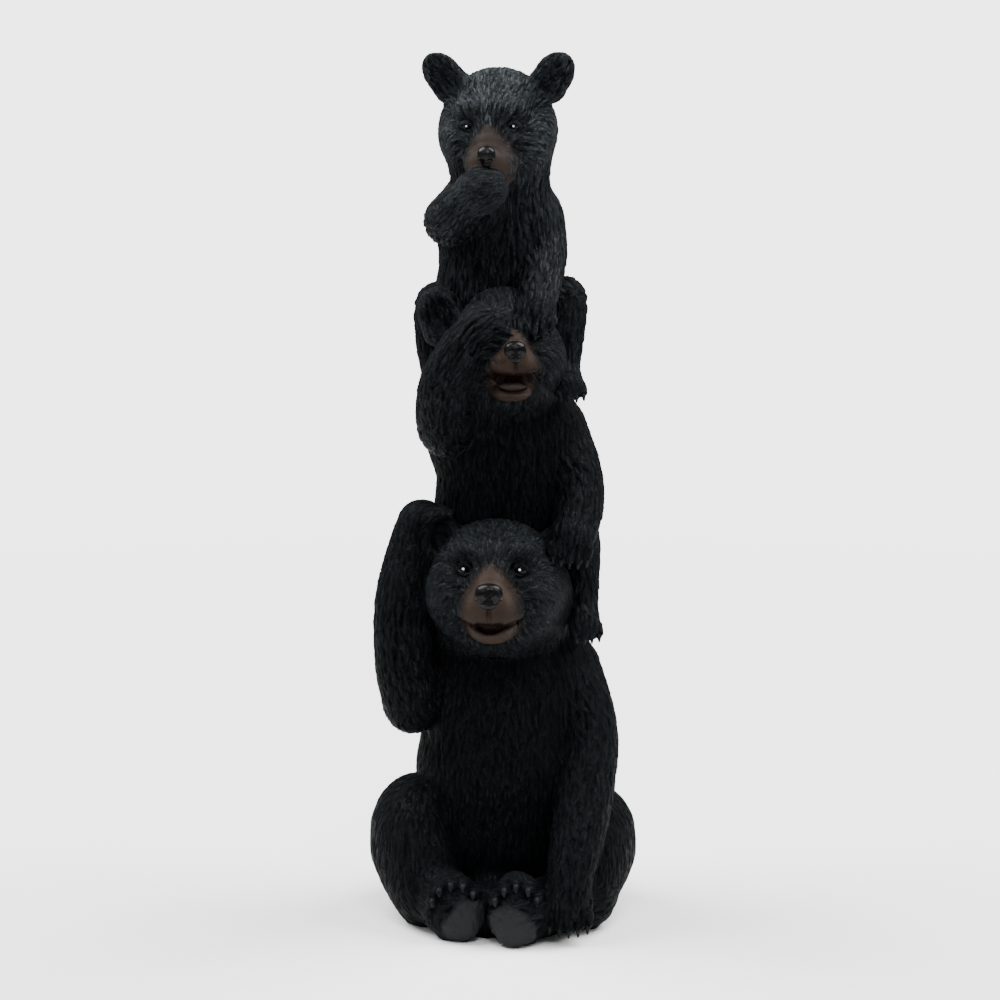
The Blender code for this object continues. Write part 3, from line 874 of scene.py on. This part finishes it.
def paintedEyeGlints(place):
    # A painted highlight on each eye: a white dot where a lamp's glint would show
    dots = Member(weld=1, place=place)
    for side in (-1, 1):
        dots.ball((side * eyeSide - 0.2, -24.75, 8.9), (0.6, 0.4, 0.6), blend=0.1)
    return dots


def newGroup(name, inputs, outputs):
    group = bpy.data.node_groups.new(name, "ShaderNodeTree")
    for label, kind, value in inputs:
        socket = group.interface.new_socket(label, in_out="INPUT", socket_type="NodeSocket" + kind)
        socket.default_value = value
    for label, kind in outputs:
        group.interface.new_socket(label, in_out="OUTPUT", socket_type="NodeSocket" + kind)
    return group, group.nodes.new("NodeGroupInput"), group.nodes.new("NodeGroupOutput")


def castGrain():
    # The fine unevenness of cast and painted resin: a mask of blotches and a height of fine grain
    group, given, result = newGroup(
        "castGrain", [("Blotch Size", "Float", 0.012), ("Grain Size", "Float", 0.0007)],
        [("Blotches", "Float"), ("Grain", "Float")])
    link = group.links.new
    where = group.nodes.new("ShaderNodeTexCoord")
    for source, output, detail in (("Blotch Size", "Blotches", 3), ("Grain Size", "Grain", 2)):
        often = group.nodes.new("ShaderNodeMath")
        often.operation = "DIVIDE"
        often.inputs[0].default_value = 1
        link(given.outputs[source], often.inputs[1])
        noise = group.nodes.new("ShaderNodeTexNoise")
        noise.inputs["Detail"].default_value = detail
        link(where.outputs["Object"], noise.inputs["Vector"])
        link(often.outputs[0], noise.inputs["Scale"])
        link(noise.outputs["Fac"], result.inputs[output])
    return group


def startFinish(name, grain, roughness, gloss):
    finish = bpy.data.materials.new(name)
    finish.use_nodes = True
    tree = finish.node_tree
    shader = tree.nodes["Principled BSDF"]
    shader.inputs["Roughness"].default_value = roughness
    shader.inputs["Specular IOR Level"].default_value = gloss
    cast = tree.nodes.new("ShaderNodeGroup")
    cast.node_tree = grain
    return finish, tree, shader, cast


def attribute(tree, name):
    node = tree.nodes.new("ShaderNodeAttribute")
    node.attribute_name = name
    return node.outputs["Fac"]


def ramp(tree, source, stops):
    node = tree.nodes.new("ShaderNodeValToRGB")
    elements = node.color_ramp.elements
    while len(elements) < len(stops):
        elements.new(0.5)
    for element, (position, colour) in zip(elements, stops):
        element.position = position
        element.color = (*colour, 1)
    tree.links.new(source, node.inputs["Fac"])
    return node.outputs["Color"]


def mixed(tree, share, first, second):
    node = tree.nodes.new("ShaderNodeMix")
    node.data_type = "RGBA"
    tree.links.new(share, node.inputs["Factor"])
    for value, label in ((first, "A"), (second, "B")):
        socket = [s for s in node.inputs if s.name == label and s.type == "RGBA"][0]
        if isinstance(value, tuple):
            socket.default_value = (*value, 1)
        else:
            tree.links.new(value, socket)
    return [s for s in node.outputs if s.type == "RGBA"][0]


def calculated(tree, operation, *values):
    node = tree.nodes.new("ShaderNodeMath")
    node.operation = operation
    for socket, value in zip(node.inputs, values):
        if isinstance(value, (int, float)):
            socket.default_value = value
        else:
            tree.links.new(value, socket)
    return node.outputs[0]


def bumped(tree, shader, height, distance, strength):
    node = tree.nodes.new("ShaderNodeBump")
    node.inputs["Distance"].default_value = distance
    node.inputs["Strength"].default_value = strength
    tree.links.new(height, node.inputs["Height"])
    tree.links.new(node.outputs["Normal"], shader.inputs["Normal"])


resin = {
    "deep": (0.0003, 0.0004, 0.0005),
    "body": (0.0088, 0.0105, 0.0119),
    # The lightest colour on raised strand tips: dusted paint with painted sheen, in place of the light
    # that glossy ridges catch
    "sheenTips": (0.052, 0.061, 0.068),
    # A faint painted sheen on the tips of fur that has no dust
    "bareSheenTips": (0.0012, 0.0017, 0.0024),
    "brownDeep": (0.0145, 0.0086, 0.006),
    "brown": (0.026, 0.0158, 0.0108),
    # A greyer, lighter brown for the muzzle where dusted paint and painted sheen lie
    "dustAndSheenBrown": (0.024, 0.0196, 0.0175),
    # The dark of the mouth: its paint, and the painted shade inside it
    "mouth": (0.0035, 0.001, 0.0007),
    "pad": (0.013, 0.0138, 0.0144),
    "roughness": 0.5,
    "gloss": 0.035,
    "strandWidth": 0.5,
    "strandLength": 5.0,
    "strandDepth": 0.0006,
    "strandContrast": 2.6,
    "grainShare": 0.12,
}


def blackResin(grain):
    finish, tree, shader, cast = startFinish("black_resin", grain, resin["roughness"], resin["gloss"])
    # Fine strands run along each tuft: a point's place across it, along it, and which tuft it is
    stretched = tree.nodes.new("ShaderNodeVectorMath")
    stretched.operation = "MULTIPLY"
    stretched.inputs[1].default_value = (1 / resin["strandWidth"], 1 / resin["strandLength"], 1)
    layer = tree.nodes.new("ShaderNodeAttribute")
    layer.attribute_name = "strand"
    tree.links.new(layer.outputs["Vector"], stretched.inputs[0])
    strands = tree.nodes.new("ShaderNodeTexNoise")
    strands.inputs["Scale"].default_value = 1.0
    strands.inputs["Detail"].default_value = 1.5
    tree.links.new(stretched.outputs[0], strands.inputs["Vector"])
    strand = strands.outputs["Fac"]
    uneven = calculated(tree, "SUBTRACT", strand, 0.5)
    raised = attribute(tree, "raise")
    lift = calculated(tree, "MULTIPLY_ADD", uneven, resin["strandContrast"], raised)
    # Raised strands lighten toward their tips with dusted paint and painted sheen, the black resin
    # showing in the grooves; fur without dust keeps only a faint painted sheen
    dustedAndSheened = ramp(tree, lift, ((0.3, resin["deep"]), (0.7, resin["body"]), (1.0, resin["sheenTips"])))
    bare = ramp(tree, lift, ((0.15, resin["deep"]), (1.0, resin["bareSheenTips"])))
    fur = mixed(tree, attribute(tree, "dustAndSheen"), bare, dustedAndSheened)
    brown = ramp(tree, cast.outputs["Blotches"], ((0.3, resin["brownDeep"]), (0.65, resin["brown"])))
    padded = mixed(tree, attribute(tree, "pad"), fur, resin["pad"])
    # The muzzle's brown turns greyer and lighter with the dust-and-sheen amount: dusted paint and
    # painted light, most on the top bear's muzzle
    muzzleColour = mixed(tree, attribute(tree, "dustAndSheen"), brown, resin["dustAndSheenBrown"])
    faced = mixed(tree, attribute(tree, "paint"), padded, muzzleColour)
    # The mouth's dark paint, also painted shade on the walls inside it
    colour = mixed(tree, attribute(tree, "mouth"), faced, resin["mouth"])
    tree.links.new(colour, shader.inputs["Base Color"])
    lined = calculated(tree, "MULTIPLY", strand, attribute(tree, "furred"))
    grained = calculated(tree, "MULTIPLY", cast.outputs["Grain"], resin["grainShare"])
    bumped(tree, shader, calculated(tree, "ADD", lined, grained), resin["strandDepth"], 1.0)
    return finish


smallFinishes = {
    # dark and light are the two colours of the paint's blotches
    "claw_resin": {"dark": (0.002, 0.0022, 0.0028), "light": (0.009, 0.01, 0.012), "roughness": 0.45,
                   "gloss": 0.06, "blotch": 0.003, "grain": 0.0007, "pits": 0.00006, "pitting": 0.4},
    "nose_gloss": {"dark": (0.001, 0.001, 0.0012), "light": (0.005, 0.005, 0.0055), "roughness": 0.26,
                   "gloss": 0.09, "blotch": 0.004, "grain": 0.0011, "pits": 0.0002, "pitting": 1.0},
    "eye_gloss": {"dark": (0.001, 0.001, 0.0012), "light": (0.005, 0.005, 0.0055), "roughness": 0.1,
                  "gloss": 0.08, "blotch": 0.004, "grain": 0.0011, "pits": 0.00001, "pitting": 1.0},
    # The white of the painted highlight dot on each eye
    "painted_eye_glint": {"dark": (0.7, 0.72, 0.74), "light": (0.85, 0.86, 0.87), "roughness": 0.3,
                  "gloss": 0.5, "blotch": 0.001, "grain": 0.0007, "pits": None},
    "mouth_paint": {"dark": (0.02, 0.013, 0.011), "light": (0.038, 0.026, 0.022), "roughness": 0.5,
                    "gloss": 0.15, "blotch": 0.003, "grain": 0.0007, "pits": 0.00006, "pitting": 0.4},
}


def smallFinish(grain, name):
    look = smallFinishes[name]
    finish, tree, shader, cast = startFinish(name, grain, look["roughness"], look["gloss"])
    cast.inputs["Blotch Size"].default_value = look["blotch"]
    cast.inputs["Grain Size"].default_value = look["grain"]
    colour = ramp(tree, cast.outputs["Blotches"], ((0.35, look["dark"]), (0.7, look["light"])))
    tree.links.new(colour, shader.inputs["Base Color"])
    if look["pits"]:
        bumped(tree, shader, cast.outputs["Grain"], look["pits"], look["pitting"])
    return finish


grain = castGrain()
blackFinish = blackResin(grain)
finishes = {name: smallFinish(grain, name) for name in smallFinishes}
print("finishes ready")

noses = {"bottom_bear": 0.95, "middle_bear": 0.88, "top_bear": 0.72}  # width of each nose
figures = {"bottom_bear": bottomBear, "middle_bear": middleBear, "top_bear": topBear}
drawn = {name: figure() for name, figure in figures.items()}
skins = {name: smoothBear(name, members) for name, (place, members, claws) in drawn.items()}
corners = np.vstack([readPoints(mesh) for mesh in skins.values()])
drawnMiddle = (corners.min(axis=0) + corners.max(axis=0)) / 2
cadMiddle = (np.array(cadBox[0]) + np.array(cadBox[1])) / 2 / unit
shift = cadMiddle - drawnMiddle
shift[2] = 0
print("figures modelled, and moved by", shift.round(2).tolist())

for name, (place, members, claws) in drawn.items():
    short = name.split("_")[0]
    bear = furBear(name, skins[name], members, place, shift, blackFinish)
    face = (np.array(place @ Vector((0, -20, 0))) + shift) * unit
    thinOut(bear, face, sculpt["faceReach"] * place.to_scale()[0])
    smallPiece(short + "_nose", nosePad(place, noses[name]), shift, finishes["nose_gloss"])
    smallPiece(short + "_eyes", eyeBalls(place), shift, finishes["eye_gloss"])
    # Painted highlights on the eyes, as white dots
    smallPiece(short + "_glints", paintedEyeGlints(place), shift, finishes["painted_eye_glint"])
    if name == "middle_bear":
        smallPiece(short + "_tongue", tongue(place), shift, finishes["mouth_paint"])
    clawSet = Member(weld=1)
    clawSet.masses = claws
    smallPiece(short + "_claws", clawSet, shift, finishes["claw_resin"])
    triangles = sum(len(polygon.vertices) - 2 for polygon in bear.data.polygons)
    print(short, "bear done,", triangles, "triangles")

studio = {
    "cameraPlace": (-0.0009, -1.15, 0.36), "cameraPitch": 8.19, "lens": 90.1,
    "floorRadius": 1.4,
    "floorFade": (0.25, 1.3),  # how far out the floor starts to fade, and is gone
    "floorColours": ((0.9, 0.9, 0.9), (0.92, 0.92, 0.92)),
    "floorRoughness": 0.9,
    "surround": 0.3,  # strength of the even light from all around
    "white": 4.0,  # strength of the white that the camera sees behind the statue
    "lamps": (
        # place, target, size and power of each softbox
        ((0.05, -0.5, 0.72), (0, 0, 0.33), 0.28, 3.8),
        ((-0.9, -0.9, 0.9), (0, 0, 0.2), 0.5, 3.2),
        ((1.0, -0.7, 0.9), (0, 0, 0.2), 0.5, 3),
        ((-0.9, 0.3, 1.5), (0, 0.9, 0.5), 1.2, 80), ((0.9, 0.3, 1.5), (0, 0.9, 0.5), 1.2, 80),
    ),
}


def aimed(item, place, target):
    turn = (Vector(target) - Vector(place)).to_track_quat("-Z", "Y")
    item.matrix_world = Matrix.Translation(place) @ turn.to_matrix().to_4x4()


def addCamera():
    lens = bpy.data.cameras.new("camera")
    lens.lens = studio["lens"]
    camera = bpy.data.objects.new("camera", lens)
    bpy.context.scene.collection.objects.link(camera)
    place = Vector(studio["cameraPlace"]) + Vector((shift[0], shift[1], 0)) * unit
    pitch = math.radians(studio["cameraPitch"])
    aimed(camera, place, place + Vector((0, math.cos(pitch), -math.sin(pitch))))
    bpy.context.scene.camera = camera


def addFloor():
    # A pale round floor, which fades away into the white around it
    disc = bmesh.new()
    bmesh.ops.create_circle(disc, cap_ends=True, segments=96, radius=studio["floorRadius"])
    mesh = bpy.data.meshes.new("floor")
    disc.to_mesh(mesh)
    disc.free()
    paper = bpy.data.materials.new("paper")
    paper.use_nodes = True
    tree, shader = paper.node_tree, paper.node_tree.nodes["Principled BSDF"]
    shader.inputs["Roughness"].default_value = studio["floorRoughness"]
    where, noise = tree.nodes.new("ShaderNodeTexCoord"), tree.nodes.new("ShaderNodeTexNoise")
    noise.inputs["Scale"].default_value = 3
    tree.links.new(where.outputs["Object"], noise.inputs["Vector"])
    colour = ramp(tree, noise.outputs["Fac"], tuple(zip((0.3, 0.7), studio["floorColours"])))
    tree.links.new(colour, shader.inputs["Base Color"])
    away, fade = tree.nodes.new("ShaderNodeVectorMath"), tree.nodes.new("ShaderNodeMapRange")
    away.operation, fade.interpolation_type = "LENGTH", "SMOOTHSTEP"
    tree.links.new(where.outputs["Object"], away.inputs[0])
    tree.links.new(away.outputs["Value"], fade.inputs["Value"])
    for label, value in zip(("From Min", "From Max", "To Min", "To Max"), (*studio["floorFade"], 1, 0)):
        fade.inputs[label].default_value = value
    tree.links.new(fade.outputs["Result"], shader.inputs["Alpha"])
    mesh.materials.append(paper)
    ground = bpy.data.objects.new("floor", mesh)
    bpy.context.scene.collection.objects.link(ground)


def addLights():
    for number, (place, target, size, power) in enumerate(studio["lamps"]):
        lamp = bpy.data.lights.new(f"softbox_{number}", "AREA")
        lamp.energy, lamp.size = power, size
        item = bpy.data.objects.new(lamp.name, lamp)
        bpy.context.scene.collection.objects.link(item)
        aimed(item, place, target)
    world = bpy.context.scene.world or bpy.data.worlds.new("studio")
    bpy.context.scene.world = world
    world.use_nodes = True
    tree = world.node_tree
    around, seen = tree.nodes["Background"], tree.nodes.new("ShaderNodeBackground")
    for sky, strength in ((around, studio["surround"]), (seen, studio["white"])):
        sky.inputs["Color"].default_value = (1, 1, 1, 1)
        sky.inputs["Strength"].default_value = strength
    ray, choice = tree.nodes.new("ShaderNodeLightPath"), tree.nodes.new("ShaderNodeMixShader")
    tree.links.new(ray.outputs["Is Camera Ray"], choice.inputs[0])
    tree.links.new(around.outputs[0], choice.inputs[1])
    tree.links.new(seen.outputs[0], choice.inputs[2])
    tree.links.new(choice.outputs[0], tree.nodes["World Output"].inputs["Surface"])


addCamera()
addFloor()
addLights()
print("studio set up")
